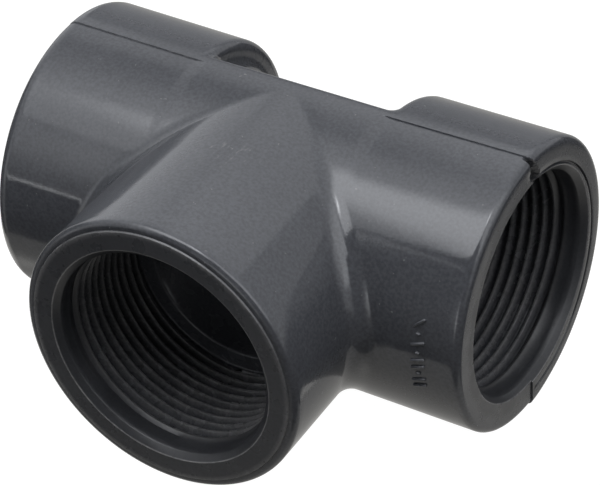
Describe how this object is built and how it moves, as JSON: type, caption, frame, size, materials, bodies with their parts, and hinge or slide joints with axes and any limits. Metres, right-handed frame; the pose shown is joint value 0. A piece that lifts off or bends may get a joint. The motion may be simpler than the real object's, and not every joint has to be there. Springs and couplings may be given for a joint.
{
  "type": "threaded pipe tee",
  "caption": "Equal plastic pipe tee with three female threaded sockets, full-round front, waisted back and filleted branch.",
  "frame": {"origin": "centre of the fitting's bounding box; the run's axis passes through y = +11.15 mm, z = 0", "axes": "+X along the run, -Y out of the branch socket, +Z square to the plane of the three axes"},
  "size_m": [0.1054, 0.083, 0.0608],
  "materials": {
    "pvc_grey": "injection moulded PVC-U, satin gloss, dark grey"
  },
  "bodies": {
    "root": {"tee_body": "pvc_grey"}
  },
  "joints": []
}
